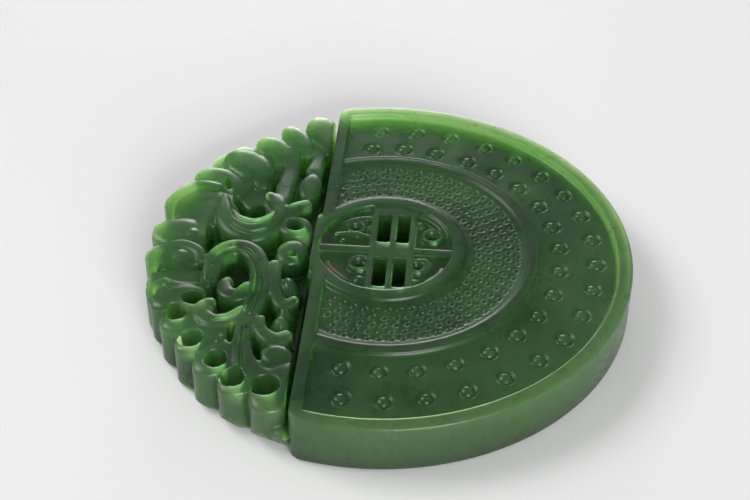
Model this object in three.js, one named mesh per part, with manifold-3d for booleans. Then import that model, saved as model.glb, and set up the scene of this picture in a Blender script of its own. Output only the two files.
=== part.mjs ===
// A round pendant carved from one slab of green jade, lying on its back.
// Millimetres, +Z up. The origin is the centre of the disc on its back face,
// +X points from the openwork side to the flat side, +Y along the dividing bar.
import * as THREE from 'three';
import { mergeVertices } from 'three/addons/utils/BufferGeometryUtils.js';
import { ParametricGeometry } from 'three/addons/geometries/ParametricGeometry.js';
import Module from 'manifold-3d';

const wasm = await Module();
wasm.setup();

// Slab
const DISC_RADIUS = 28;
const THICKNESS = 6.1;
const TOP_ROUND = 0.35;
const BACK_ROUND = 0.7;

// Flat side: rim, bar, ring band and the recessed fields between them
const RIM_WIDTH = 1.6;
const BAR_EDGE = 7.3;
const BAR_WIDTH = 1.4;
const CORNER_ROUND = 1.5;
const FIELD_DEPTH = 0.8;
const WALL_SLOPE = 0.35;
const INNER_SHIFT = 0.4;
const INNER_RISE = 0.5;
const BAND_RADIUS = 17.3;
const BAND_WIDTH = 1.15;
const BAND_DROP = 0.2;
const GRAIN_DEPTH = 0.6;

// Medallion with its pierced fret
const MEDALLION_RADIUS = 8.95;
const MEDALLION_RIM = 1.45;
const MEDALLION_BULGE = 0.55;
const FRET_SHIFT = 1.1;
const FRET_DROP = 0.2;
const FRET_DEPTH = 1.1;
const SLOT_WIDTH = 1.5;
const SLOT_LENGTH = 5.0;
const MULLION = 0.65;
const CROSSBAR = 2.6;
const JAMB = 0.7;
const ARM = 1.0;
const SCROLL_RADIUS = 4.9;
const SCROLL_WIDTH = 0.8;

// Round bosses in two rows on the outer field
const BOSS_RADIUS = 0.78;
const BOSS_RISE = 0.5;
const BOSS_ROWS = [
  { radius: BAND_RADIUS + 2.3, lift: INNER_RISE, first: -99.5, step: 11.7, count: 18 },
  { radius: DISC_RADIUS - RIM_WIDTH - 2.9, lift: INNER_RISE / 2, first: -96.9, step: 10.7, count: 19 },
];

// Openwork side, drawn in units of which the disc's radius holds 28,
// with its heights drawn for a slab 6.1 thick
const UNIT = DISC_RADIUS / 28;
const RISE = THICKNESS / 6.1;
const BED_RADIUS = 24.8 * UNIT;
const BED_HEIGHT = 3.0;
const GROOVE_WIDTH = 0.75;
const GROOVE_FLOOR = 1.2;
const UNDERCUT_HEIGHT = 3.6;
const UNDERCUT_REACH = 2.8;

const SIDES = 10;
const barInside = -BAR_EDGE + BAR_WIDTH;
const fieldFloor = THICKNESS - FIELD_DEPTH;
const grainFloor = THICKNESS - GRAIN_DEPTH;
const bandTop = THICKNESS - BAND_DROP;
const fretTop = THICKNESS - FRET_DROP;
const above = THICKNESS + 2;
const below = -1;
const beyond = DISC_RADIUS + 5;

// A closed three.js geometry as a solid that can be joined and cut
function solid(geometry) {
  geometry.deleteAttribute('normal');
  geometry.deleteAttribute('uv');
  const merged = mergeVertices(geometry, 1e-4);
  const corners = merged.index.array;
  const triVerts = [];
  for (let i = 0; i < corners.length; i += 3) {
    const [a, b, c] = [corners[i], corners[i + 1], corners[i + 2]];
    if (a !== b && b !== c && c !== a) triVerts.push(a, b, c);
  }
  return new wasm.Manifold(new wasm.Mesh({
    numProp: 3,
    vertProperties: new Float32Array(merged.attributes.position.array),
    triVerts: new Uint32Array(triVerts),
  }));
}

function box(x0, x1, y0, y1, z0, z1) {
  const block = new THREE.BoxGeometry(x1 - x0, y1 - y0, z1 - z0);
  block.translate((x0 + x1) / 2, (y0 + y1) / 2, (z0 + z1) / 2);
  return solid(block);
}

// A solid of revolution about a vertical axis: the profile is a list of radius, height
function turned(x, y, profile, sides) {
  const points = profile.map(([radius, height]) => new THREE.Vector2(radius, height));
  const round = new THREE.LatheGeometry(points, sides);
  round.rotateX(Math.PI / 2).translate(x, y, 0);
  return solid(round);
}

function cylinder(x, y, radius, z0, z1, sides) {
  return turned(x, y, [[0, z0], [radius, z0], [radius, z1], [0, z1]], sides);
}

function tube(x, y, outer, width, z0, z1, sides) {
  return cylinder(x, y, outer, z0, z1, sides)
    .subtract(cylinder(x, y, outer - width, z0 - 1, z1 + 1, sides));
}

function arcPoints(x, y, radius, from, to, steps) {
  return new THREE.EllipseCurve(x, y, radius, radius, from, to).getPoints(steps);
}

// The flat side: a turned disc cut straight by the bar, with both corners rounded
function flatSide() {
  const soft = 0.3 * BACK_ROUND;
  const disc = turned(0, 0, [
    [0, below], [DISC_RADIUS - BACK_ROUND, below], [DISC_RADIUS - BACK_ROUND, 0],
    [DISC_RADIUS - soft, soft], [DISC_RADIUS, BACK_ROUND], [DISC_RADIUS, THICKNESS - TOP_ROUND],
    [DISC_RADIUS - TOP_ROUND, THICKNESS], [0, THICKNESS],
  ], 90);
  const cornerX = -BAR_EDGE + CORNER_ROUND;
  const cornerY = Math.sqrt((DISC_RADIUS - CORNER_ROUND) ** 2 - cornerX ** 2);
  const turn = Math.atan2(cornerY, cornerX);
  const farX = DISC_RADIUS * Math.cos(turn) + 2 * DISC_RADIUS * Math.sin(turn);
  const farY = DISC_RADIUS * Math.sin(turn) - 2 * DISC_RADIUS * Math.cos(turn);
  const outline = new THREE.Shape([
    new THREE.Vector2(farX, farY),
    ...arcPoints(cornerX, cornerY, CORNER_ROUND, turn, Math.PI, 4),
    ...arcPoints(cornerX, -cornerY, CORNER_ROUND, Math.PI, 2 * Math.PI - turn, 4),
    new THREE.Vector2(farX, -farY),
  ]);
  const cutter = new THREE.ExtrudeGeometry(outline, {
    depth: THICKNESS - below - 2 * TOP_ROUND,
    bevelThickness: TOP_ROUND,
    bevelSize: TOP_ROUND,
    bevelOffset: -TOP_ROUND,
    bevelSegments: 1,
  });
  cutter.translate(0, 0, below + TOP_ROUND);
  return disc.intersect(solid(cutter));
}

function boss(x, y) {
  const dome = [
    [0, -BOSS_RISE], [BOSS_RADIUS, -BOSS_RISE], [BOSS_RADIUS, 0.15 * BOSS_RISE],
    [0.6 * BOSS_RADIUS, 0.85 * BOSS_RISE], [0, BOSS_RISE],
  ];
  return turned(x, y, dome.map(([radius, height]) => [radius, height + fieldFloor]), 7);
}

function bossRows() {
  const bosses = [];
  for (const row of BOSS_ROWS) {
    for (let i = 0; i < row.count; i += 1) {
      const angle = THREE.MathUtils.degToRad(row.first + i * row.step);
      const x = INNER_SHIFT + row.radius * Math.cos(angle);
      bosses.push(boss(x, row.lift + row.radius * Math.sin(angle)));
    }
  }
  return wasm.Manifold.union(bosses);
}

// The raised inner island: ring band with the grain field sunk inside it
function island() {
  const inside = BAND_RADIUS - BAND_WIDTH;
  return turned(INNER_SHIFT, INNER_RISE, [
    [0, fieldFloor - 1], [BAND_RADIUS + WALL_SLOPE, fieldFloor - 1],
    [BAND_RADIUS + WALL_SLOPE, fieldFloor], [BAND_RADIUS, bandTop], [inside, bandTop],
    [inside - WALL_SLOPE, grainFloor], [0, grainFloor],
  ], 72);
}

// The medallion's raised disc, which swells a little over the bar's outer edge
function medallionDisc() {
  const foot = MEDALLION_RADIUS + WALL_SLOPE;
  return turned(INNER_SHIFT, INNER_RISE, [
    [0, 1], [foot, 1], [foot, grainFloor], [MEDALLION_RADIUS, THICKNESS], [0, THICKNESS],
  ], 56).intersect(box(-BAR_EDGE - MEDALLION_BULGE, beyond, -beyond, beyond, 0, above));
}

// The fret that stands in the medallion's round well
function fret() {
  const reach = MEDALLION_RADIUS + 1;
  const root = fretTop - FRET_DEPTH - 1;
  const jambEdge = MULLION / 2 + SLOT_WIDTH + JAMB;
  return wasm.Manifold.union([
    box(FRET_SHIFT - jambEdge, FRET_SHIFT + jambEdge, -reach, reach, root, fretTop),
    box(-reach, reach, -ARM / 2, ARM / 2, root, fretTop),
    tube(FRET_SHIFT, 0, SCROLL_RADIUS + SCROLL_WIDTH / 2, SCROLL_WIDTH, root, fretTop, 36),
  ]).intersect(cylinder(INNER_SHIFT, INNER_RISE, MEDALLION_RADIUS - MEDALLION_RIM / 2, 0, fretTop, 48));
}

// Four tall slots of the fret, sawn right through
function slotCuts() {
  const cuts = [];
  for (const side of [-1, 1]) {
    for (const end of [-1, 1]) {
      const x = FRET_SHIFT + side * (MULLION + SLOT_WIDTH) / 2;
      const y = end * (CROSSBAR + SLOT_LENGTH) / 2;
      cuts.push(box(x - SLOT_WIDTH / 2, x + SLOT_WIDTH / 2,
        y - SLOT_LENGTH / 2, y + SLOT_LENGTH / 2, 2 * below, above));
    }
  }
  return wasm.Manifold.union(cuts);
}

function flatHalf() {
  const fieldRadius = DISC_RADIUS - RIM_WIDTH;
  const field = turned(0, 0, [
    [0, fieldFloor], [fieldRadius - WALL_SLOPE, fieldFloor], [fieldRadius, THICKNESS],
    [fieldRadius, above], [0, above],
  ], 84).intersect(box(barInside, beyond, -beyond, beyond, below, above));
  const raised = wasm.Manifold.union([island(), bossRows()])
    .intersect(box(barInside - 0.2, beyond, -beyond, beyond, below, above));
  const well = cylinder(INNER_SHIFT, INNER_RISE, MEDALLION_RADIUS - MEDALLION_RIM,
    fretTop - FRET_DEPTH, above, 48);
  return flatSide()
    .subtract(field)
    .add(raised)
    .add(medallionDisc())
    .subtract(well)
    .add(fret())
    .subtract(slotCuts());
}

// A carved lock: a strand with rounded shoulders that follows a path and tapers.
// Each knot is x, y, half the width and the height of the top.
function lock(knots, foot = 1) {
  const path = new THREE.SplineCurve(knots.map(([x, y]) => new THREE.Vector2(x * UNIT, y * UNIT)));
  const size = new THREE.SplineCurve(knots.map(([, , w, top]) => new THREE.Vector2(w * UNIT, top * RISE)));
  const stations = 2 * knots.length + 2;
  const place = new THREE.Vector2();
  const slope = new THREE.Vector2();
  const section = [[1, 0], [1, 0.72], [0.5, 1], [-0.5, 1], [-1, 0.72], [-1, 0]];
  const strand = (u, v, target) => {
    const [side, rise] = section[Math.round(u * section.length) % section.length];
    path.getPoint(v, place);
    path.getTangent(v, slope);
    const { x: half, y: top } = size.getPoint(v);
    const nearEnd = Math.min(v, 1 - v) * stations;
    const rounding = Math.sin(Math.min(1, nearEnd / 2) * Math.PI / 2);
    const across = side * Math.max(half, 0.1) * rounding;
    const shoulder = Math.min(1.2, top - foot);
    const z = rise === 0 ? foot : top - (1 - rise) * shoulder * 1.6;
    target.set(place.x - slope.y * across, place.y + slope.x * across, z);
  };
  return solid(new ParametricGeometry(strand, section.length, stations));
}

// A round or oval post with a softly domed top, from the back face up
function post(x, y, halfLength, halfWidth, turn, top) {
  const high = top * RISE;
  const profile = [[0, below], [1, below], [1, 0.84 * high],
    [0.85, 0.96 * high], [0.55, high], [0, high]];
  const shape = new THREE.LatheGeometry(profile.map(([r, h]) => new THREE.Vector2(r, h)), SIDES);
  shape.rotateX(Math.PI / 2).scale(halfLength * UNIT, halfWidth * UNIT, 1);
  shape.rotateZ(THREE.MathUtils.degToRad(turn)).translate(x * UNIT, y * UNIT, 0);
  return solid(shape);
}

// A rounded bud or smooth leaf pad that swells out of the bed
function bud(x, y, halfLength, halfWidth, turn, top) {
  const centre = BED_HEIGHT - 0.5;
  const swell = new THREE.SphereGeometry(1, SIDES, 5);
  swell.rotateX(Math.PI / 2).scale(halfLength * UNIT, halfWidth * UNIT, top * RISE - centre);
  swell.rotateZ(THREE.MathUtils.degToRad(turn)).translate(x * UNIT, y * UNIT, centre);
  return solid(swell);
}

// A hole sawn right through, oval in plan
function piercing(x, y, halfLength, halfWidth, turn) {
  const hole = new THREE.CylinderGeometry(1, 1, above - 2 * below, 8);
  hole.rotateX(Math.PI / 2).scale(halfLength * UNIT, halfWidth * UNIT, 1);
  hole.rotateZ(THREE.MathUtils.degToRad(turn)).translate(x * UNIT, y * UNIT, above / 2);
  return solid(hole);
}

// Lobes round the scalloped edge: x, y, half length, half width, turn, top
const EDGE_LOBES = [
  [-10.2, 22.4, 4.0, 1.75, 98, 5.9],
  [-13.3, 20.8, 3.6, 1.55, 106, 5.8],
  [-15.8, 18.9, 3.2, 1.4, 112, 5.7],
  [-19.0, 15.8, 3.5, 1.9, 122, 5.8],
  [-21.8, 12.3, 3.2, 2.0, 138, 5.6],
  [-22.3, 7.0, 3.9, 3.5, 150, 5.5],
  [-23.3, 0.9, 3.2, 2.1, 175, 5.7],
  [-22.8, -3.4, 3.6, 2.4, 188, 5.9],
  [-23.6, -7.6, 2.0, 2.1, 200, 5.4],
  [-22.0, -11.6, 2.8, 2.1, 210, 5.7],
  [-20.8, -15.0, 2.5, 1.7, 215, 5.6],
  [-18.9, -18.0, 2.9, 2.1, 225, 5.8],
  [-16.2, -20.7, 3.1, 2.0, 232, 5.8],
  [-13.4, -22.8, 3.1, 1.9, 242, 5.9],
  [-10.1, -23.9, 3.2, 2.3, 255, 6.0],
];

// Locks and curls: each knot is x, y, half width, top
const LOCKS = [
  // horn-shaped crescent round the upper hollow
  [[-19.2, 9.0, 0.3, 5.8], [-18.7, 5.8, 1.0, 6.1], [-17.4, 3.6, 1.8, 6.1], [-15.4, 2.6, 2.2, 6.1],
    [-13.6, 3.4, 1.8, 6.1], [-12.4, 5.4, 1.0, 6.1], [-12.7, 7.9, 0.8, 6.0], [-14.3, 9.8, 0.4, 5.6]],
  // great lock: over the curl, then down as a stem to the edge
  [[-18.4, -6.9, 0.8, 5.6], [-18.5, -3.4, 1.1, 6.1], [-17.4, -1.3, 1.3, 6.1], [-15.7, -0.8, 1.3, 6.1],
    [-14.0, -2.0, 1.2, 6.1], [-13.1, -4.8, 1.2, 6.1], [-12.9, -8.8, 1.2, 6.1], [-13.5, -12.6, 1.0, 6.1],
    [-13.5, -16.2, 0.9, 6.1], [-12.9, -19.3, 0.9, 6.1], [-11.9, -22.4, 0.6, 6.0]],
  // curl inside the great lock
  [[-13.8, -6.8, 0.8, 6.1], [-14.8, -8.7, 1.0, 6.0], [-16.2, -8.4, 1.0, 5.9], [-16.7, -6.8, 0.8, 5.7],
    [-16.2, -5.7, 0.4, 5.5]],
  // hook below it
  [[-13.6, -10.8, 0.8, 6.1], [-15.0, -12.6, 1.0, 6.1], [-16.8, -13.3, 1.1, 6.1], [-18.2, -12.2, 1.0, 6.0],
    [-18.3, -10.6, 0.9, 5.9], [-17.2, -9.7, 0.5, 5.7]],
  // thin ridge over the deep hollow on the left
  [[-18.2, -6.8, 0.5, 5.7], [-20.2, -7.6, 0.7, 5.6], [-22.4, -7.4, 0.8, 5.5], [-24.0, -6.0, 0.5, 5.4]],
  // leaf tip over the ring beside the bar
  [[-11.9, 4.8, 0.7, 5.9], [-10.8, 6.4, 1.1, 6.1], [-8.9, 8.0, 0.6, 6.0]],
  // strands from the upper lobes down to the crescent
  [[-17.6, 16.4, 1.1, 5.6], [-17.2, 13.4, 1.1, 5.4], [-17.9, 10.6, 0.8, 5.0], [-18.9, 8.6, 0.4, 5.2]],
  [[-14.7, 18.0, 1.1, 5.6], [-15.4, 14.6, 1.1, 5.2], [-15.2, 11.4, 0.8, 5.0]],
  [[-12.5, 19.6, 1.0, 5.6], [-12.0, 15.0, 1.0, 5.4], [-12.4, 11.4, 1.1, 5.6], [-12.1, 8.0, 0.6, 5.9]],
  [[-9.4, 20.4, 1.0, 5.7], [-9.0, 17.4, 0.8, 5.5], [-9.4, 13.8, 1.1, 5.8]],
  // inner side of the round pad at the upper left
  [[-20.9, 9.2, 0.7, 5.4], [-20.7, 6.0, 0.9, 5.6], [-21.0, 3.2, 0.8, 5.6], [-20.6, 0.6, 0.6, 5.7]],
  // ridge and cup round the drop beside the bar
  [[-11.7, -2.8, 0.5, 6.0], [-11.3, -5.2, 0.6, 6.1], [-11.0, -7.8, 0.7, 6.0], [-9.9, -9.9, 0.8, 5.9],
    [-8.5, -8.6, 0.4, 5.8]],
  // cup below
  [[-12.0, -12.0, 0.5, 6.0], [-11.7, -14.2, 0.8, 6.1], [-10.0, -15.5, 1.0, 6.0], [-8.5, -14.2, 0.6, 5.9]],
  // collar under the oval pad
  [[-12.6, -16.0, 0.4, 5.9], [-11.9, -18.8, 0.5, 5.9], [-10.6, -20.6, 0.9, 5.9], [-8.6, -20.2, 0.7, 5.8]],
];

// Smooth buds that swell out of the bed: x, y, half length, half width, turn, top
const BUDS = [
  [-22.4, -2.8, 3.2, 2.6, 15, 6.1],
  [-21.8, 1.4, 2.2, 2.0, 60, 5.9],
  [-15.8, -16.0, 2.2, 1.2, 80, 6.0],
  [-9.7, -6.6, 2.4, 1.4, 105, 6.1],
  [-9.8, -12.6, 1.7, 1.4, 90, 6.0],
  [-21.1, -11.2, 2.2, 2.0, 40, 5.8],
  [-9.6, -10.9, 1.2, 1.4, 0, 5.7],
];

// Flat-topped pads and the ring curl beside the bar: x, y, half length, half width, turn, top
const PADS = [
  [-10.2, 3.5, 2.0, 1.9, 0, 6.0],
  [-9.6, -17.9, 1.8, 1.6, 0, 6.1],
  [-9.4, 11.4, 2.6, 1.3, 85, 5.9],
  [-10.1, -0.9, 2.2, 1.8, 75, 5.9],
];

// Sawn holes: x, y, half length, half width, turn
const PIERCINGS = [
  [-10.2, 3.6, 1.1, 1.1, 0],
  [-9.9, -1.5, 0.5, 0.5, 0],
  [-15.3, -5.0, 1.2, 0.9, 70],
  [-19.8, -9.5, 1.3, 1.0, 10],
  [-16.4, -11.3, 0.9, 0.9, 0],
  [-21.3, -11.8, 0.85, 0.85, 0],
  [-19.1, -15.9, 1.0, 0.7, 30],
  [-15.8, -18.8, 1.0, 1.0, 0],
  [-13.8, -21.5, 1.0, 1.0, 0],
  [-10.2, -22.7, 1.2, 1.1, 0],
  [-11.7, -17.4, 1.6, 0.4, 110],
  [-14.8, -15.0, 1.4, 0.35, 95],
  [-15.3, 7.2, 1.7, 1.1, 80],
  [-17.4, 8.2, 1.5, 0.6, 110],
  [-19.8, 1.2, 2.6, 0.4, 100],
  [-13.7, 12.5, 1.5, 0.55, 85],
  [-10.7, 16.2, 1.4, 0.55, 95],
  [-12.4, -0.4, 1.5, 0.5, 110],
  [-19.3, 11.4, 1.2, 0.5, 110],
];

// The openwork's turned envelope: its walls draw in towards the back
function openEnvelope() {
  return turned(0, 0, [
    [0, below], [DISC_RADIUS - UNDERCUT_REACH, below], [DISC_RADIUS - UNDERCUT_REACH, 0],
    [DISC_RADIUS - 0.35 * UNDERCUT_REACH, 0.4 * UNDERCUT_HEIGHT],
    [DISC_RADIUS, UNDERCUT_HEIGHT], [DISC_RADIUS, THICKNESS], [0, THICKNESS],
  ], 72);
}

function openHalf() {
  const carving = wasm.Manifold.union([
    cylinder(0, 0, BED_RADIUS, below, BED_HEIGHT, 40),
    ...EDGE_LOBES.map((lobe) => post(...lobe)),
    ...PADS.map((pad) => post(...pad)),
    ...BUDS.map((swell) => bud(...swell)),
    ...LOCKS.map((knots) => lock(knots)),
  ]);
  const grooveOuter = -BAR_EDGE - GROOVE_WIDTH;
  const groove = box(grooveOuter, 0, -beyond, beyond, GROOVE_FLOOR, above);
  return carving
    .subtract(wasm.Manifold.union(PIERCINGS.map((hole) => piercing(...hole))))
    .intersect(box(-beyond, -BAR_EDGE + GROOVE_WIDTH / 2, -beyond, beyond, below, above))
    .subtract(groove)
    .intersect(openEnvelope());
}

function toGeometry(piece) {
  const mesh = piece.getMesh();
  const geometry = new THREE.BufferGeometry();
  geometry.setAttribute('position', new THREE.BufferAttribute(mesh.vertProperties, 3));
  geometry.setIndex(new THREE.BufferAttribute(mesh.triVerts, 1));
  geometry.computeVertexNormals();
  return geometry;
}

const jade = new THREE.MeshStandardMaterial({ color: 0x2f6b35, roughness: 0.32, metalness: 0 });
const underside = box(-beyond, beyond, -beyond, beyond, 5 * below, 0);
const carved = flatHalf().add(openHalf()).subtract(underside);
const pendant = new THREE.Mesh(toGeometry(carved), jade);
pendant.name = 'jade_pendant';

const group = new THREE.Group();
group.add(pendant);

export default group;
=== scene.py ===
import math
import random

import bpy
from bpy.props import FloatProperty, FloatVectorProperty, IntProperty, PointerProperty
from bpy.types import Operator, Panel, PropertyGroup
from mathutils import Matrix, Vector


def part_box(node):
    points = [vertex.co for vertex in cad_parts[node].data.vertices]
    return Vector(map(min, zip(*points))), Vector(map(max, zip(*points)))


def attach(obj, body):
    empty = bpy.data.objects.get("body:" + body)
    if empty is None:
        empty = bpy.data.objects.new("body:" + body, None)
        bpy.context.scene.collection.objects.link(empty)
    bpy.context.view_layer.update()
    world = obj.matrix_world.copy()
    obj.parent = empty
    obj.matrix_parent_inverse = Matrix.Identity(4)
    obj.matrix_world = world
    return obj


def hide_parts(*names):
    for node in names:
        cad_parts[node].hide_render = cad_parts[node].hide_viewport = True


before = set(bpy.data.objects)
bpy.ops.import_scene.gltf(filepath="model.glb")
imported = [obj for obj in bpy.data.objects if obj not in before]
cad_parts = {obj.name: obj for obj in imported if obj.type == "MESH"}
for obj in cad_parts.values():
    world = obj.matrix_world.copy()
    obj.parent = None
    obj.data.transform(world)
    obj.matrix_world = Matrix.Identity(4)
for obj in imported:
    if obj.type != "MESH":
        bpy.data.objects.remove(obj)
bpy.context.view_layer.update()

bl_info = {
    "name": "Carved jade pendant",
    "version": (1, 0, 0),
    "blender": (4, 5, 0),
    "location": "View3D > Sidebar > Pendant",
    "description": "Carves a round openwork jade pendant and lays it on a pale table",
    "category": "Add Mesh",
}

NODE = "jade_pendant"
LOW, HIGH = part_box(NODE)

# Pieces are carved in millimetres, and brought to metres when they are finished.
MM = 0.001
RADIUS = HIGH.x / MM - 0.01
THICKNESS = HIGH.z / MM
# Tools start this far under the back face, and end this far over the front
BELOW = -1
ABOVE = THICKNESS + 2
MOST_TRIANGLES = 185000


# Sizes and colours that a user would change

class PlainSideSize(PropertyGroup):
    rim_width: FloatProperty(
        name="Rim width", description="Width of the raised rim round the flat side",
        default=1.6 * MM, unit="LENGTH")
    bar_edge: FloatProperty(
        name="Bar edge", description="Distance from the disc's centre to the bar's outer edge",
        default=7.3 * MM, unit="LENGTH")
    bar_width: FloatProperty(
        name="Bar width", description="Width of the straight bar beside the openwork",
        default=1.4 * MM, unit="LENGTH")
    corner_round: FloatProperty(
        name="Corner round", description="Radius of the two corners where bar and rim meet",
        default=1.5 * MM, unit="LENGTH")
    field_depth: FloatProperty(
        name="Field depth", description="Depth of the outer field below the rim",
        default=0.8 * MM, unit="LENGTH")
    grain_depth: FloatProperty(
        name="Grain depth", description="Depth of the grained field below the rim",
        default=0.6 * MM, unit="LENGTH")
    band_radius: FloatProperty(
        name="Band radius", description="Outer radius of the raised ring band",
        default=17.3 * MM, unit="LENGTH")
    medallion_radius: FloatProperty(
        name="Medallion radius", description="Radius of the medallion's outer arris",
        default=8.95 * MM, unit="LENGTH")
    boss_radius: FloatProperty(
        name="Boss radius", description="Radius of each round boss on the outer field",
        default=0.78 * MM, unit="LENGTH")
    grain_pitch: FloatProperty(
        name="Grain pitch", description="Distance between neighbouring grains of one row",
        default=1.28 * MM, unit="LENGTH")
    surface_grid: FloatProperty(
        name="Surface grid", description="Grid on which the cut arrises are worn soft",
        default=0.11 * MM, unit="LENGTH")


class OpenworkSize(PropertyGroup):
    surface_grid: FloatProperty(
        name="Surface grid", description="Grid on which the carved forms are blended",
        default=0.12 * MM, unit="LENGTH")
    polish_passes: IntProperty(
        name="Polish passes", description="How often the carved edges are smoothed",
        default=3, min=0)
    groove_width: FloatProperty(
        name="Groove width", description="Width of the dark groove beside the bar",
        default=0.55 * MM, unit="LENGTH")


class JadeLook(PropertyGroup):
    deep: FloatVectorProperty(
        name="Deep green", description="Colour of the stone where it is clear",
        default=(0.012, 0.050, 0.011), subtype="COLOR", min=0, max=1)
    cloudy: FloatVectorProperty(
        name="Cloudy green", description="Colour of the paler clouds in the stone",
        default=(0.027, 0.092, 0.023), subtype="COLOR", min=0, max=1)
    # Olive tone at the disc's edge: partly the stone's own skin, partly a painted glow of light
    # through the thin edge
    rind_glow: FloatVectorProperty(
        name="Olive rind", description="Colour of the stone near the disc's edge",
        default=(0.044, 0.085, 0.032), subtype="COLOR", min=0, max=1)
    rust: FloatVectorProperty(
        name="Rust", description="Colour of the small stain in the medallion",
        default=(0.12, 0.045, 0.02), subtype="COLOR", min=0, max=1)
    glow_depth: FloatProperty(
        name="Glow depth", description="How far light wanders inside the stone",
        default=28 * MM, unit="LENGTH")


class StageLook(PropertyGroup):
    table: FloatVectorProperty(
        name="Table", description="Colour of the pale table",
        default=(0.86, 0.855, 0.86), subtype="COLOR", min=0, max=1)
    key_power: FloatProperty(
        name="Key light", description="Power of the soft light at the left, in watts",
        default=7.5, min=0)
    front_power: FloatProperty(
        name="Front light", description="Power of the soft light in front, in watts",
        default=16.0, min=0)
    back_power: FloatProperty(
        name="Back light",
        description="Power of the low light that shines through the far rim, in watts",
        default=1.1, min=0)
    sky: FloatProperty(
        name="Sky", description="Strength of the white room light all round",
        default=0.32, min=0)


# Bench tools

def lay_down():
    """Leaves edit mode and deselects everything, so that a tool acts on one piece alone."""
    if bpy.context.object and bpy.context.object.mode != "OBJECT":
        bpy.ops.object.mode_set(mode="OBJECT")
    bpy.ops.object.select_all(action="DESELECT")


def take(piece):
    lay_down()
    piece.select_set(True)
    bpy.context.view_layer.objects.active = piece


def start(primitive, name, **values):
    """Adds a primitive under a name, with its place in its mesh."""
    lay_down()
    primitive(**values)
    piece = bpy.context.active_object
    piece.name = piece.data.name = name
    bpy.ops.object.transform_apply(location=True, rotation=True, scale=True)
    return piece


def choose(piece, kind, wanted):
    """Opens a piece with the faces or edges selected whose corner points are wanted."""
    take(piece)
    bpy.context.tool_settings.mesh_select_mode = (False, kind == "EDGE", kind == "FACE")
    mesh = piece.data
    for parts in (mesh.vertices, mesh.edges, mesh.polygons):
        parts.foreach_set("select", [False] * len(parts))
    for part in mesh.polygons if kind == "FACE" else mesh.edges:
        part.select = wanted([mesh.vertices[i].co for i in part.vertices])
    bpy.ops.object.mode_set(mode="EDIT")


def at_height(height):
    """Picks the faces or edges that lie level at a height."""
    return lambda points: all(abs(p.z - height) < 1e-3 for p in points)


def bevel_edges(piece, wanted, offset, segments):
    choose(piece, "EDGE", wanted)
    bpy.ops.mesh.bevel(offset=offset, segments=segments, affect="EDGES")
    bpy.ops.object.mode_set(mode="OBJECT")


def saw(piece, x):
    """Saws a piece off parallel to the bar: what lies beyond x stays."""
    choose(piece, "FACE", lambda points: True)
    bpy.ops.mesh.bisect(plane_co=(x, 0, 0), plane_no=(1, 0, 0), use_fill=True, clear_inner=True)
    bpy.ops.object.mode_set(mode="OBJECT")


class Profile:
    """The section of a terraced form, from its outer edge inwards: radii and heights."""

    def __init__(self, radius, height):
        self.points = [(radius, height)]

    def to(self, radius, height):
        self.points.append((radius, height))
        return self

    def bend(self, radius, height, leaves_flat, count=4):
        """A quarter round that leaves flat and arrives steep, or the other way."""
        r, z = self.points[-1]
        for i in range(1, count + 1):
            slow = 1 - math.cos(math.pi / 2 * i / count)
            fast = math.sin(math.pi / 2 * i / count)
            across, up = (fast, slow) if leaves_flat else (slow, fast)
            self.points.append((r + (radius - r) * across, z + (height - z) * up))
        return self

    def carve(self, piece, facing=1):
        """Steps the flat face at the profile's first height along the profile."""
        choose(piece, "FACE", at_height(self.points[0][1]))
        for (r0, z0), (r1, z1) in zip(self.points, self.points[1:]):
            bpy.ops.mesh.inset(thickness=r0 - r1, depth=facing * (z1 - z0))
        bpy.ops.object.mode_set(mode="OBJECT")


def combine(piece, other, operation):
    """Joins, cuts or keeps what two closed pieces share, and uses the other one up."""
    take(piece)
    bpy.ops.object.modifier_add(type="BOOLEAN")
    joint = piece.modifiers[-1]
    joint.operation = operation
    joint.solver = "MANIFOLD"
    joint.object = other
    bpy.ops.object.modifier_apply(modifier=joint.name)
    bpy.data.meshes.remove(other.data)


def gather(pieces, name):
    """Makes several pieces one, each still a closed shell of its own."""
    lay_down()
    for piece in pieces:
        piece.select_set(True)
    bpy.context.view_layer.objects.active = pieces[0]
    bpy.ops.object.join()
    pieces[0].name = pieces[0].data.name = name
    return pieces[0]


def copies(pattern, name, places):
    """Sets a copy of a small pattern at each place, all in one piece: x, y, z, size, turn."""
    placed = []
    for x, y, z, size, turn in places:
        copy = pattern.copy()
        copy.data = pattern.data.copy()
        bpy.context.collection.objects.link(copy)
        copy.data.transform(Matrix.Translation((x, y, z)) @ Matrix.Rotation(turn, 4, "Z")
                            @ Matrix.Diagonal((size, size, 1, 1)))
        placed.append(copy)
    bpy.data.meshes.remove(pattern.data)
    return gather(placed, name)


def piece_named(name):
    piece = bpy.data.objects.get(name)
    if piece is None:
        raise RuntimeError(f"{name} hasn't been carved yet")
    return piece


# Plain side

# Centre of the band, the bosses and the medallion, a little off the disc's own centre
INNER = Vector((0.4, 0.5, 0))
ROUND = 240
TOP_ARRIS = 0.32
FOOT_ARRIS = 0.6
ARRIS_STEPS = 5
SAME_POINT = 0.06


class Levels:
    """Heights and places on the flat side, in millimetres."""

    def __init__(self, size):
        self.rim = size.rim_width / MM
        self.bar_out = -size.bar_edge / MM
        self.bar_in = self.bar_out + size.bar_width / MM
        self.corner = size.corner_round / MM
        self.field = THICKNESS - size.field_depth / MM
        self.grain = THICKNESS - size.grain_depth / MM
        self.band = size.band_radius / MM
        self.medallion = size.medallion_radius / MM
        self.boss = size.boss_radius / MM
        self.pitch = size.grain_pitch / MM


def disc(name, radius, low, high, centre=Vector((0, 0, 0)), sides=ROUND):
    return start(bpy.ops.mesh.primitive_cylinder_add, name, vertices=sides, radius=radius,
                 depth=high - low, location=centre + Vector((0, 0, (low + high) / 2)))


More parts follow.
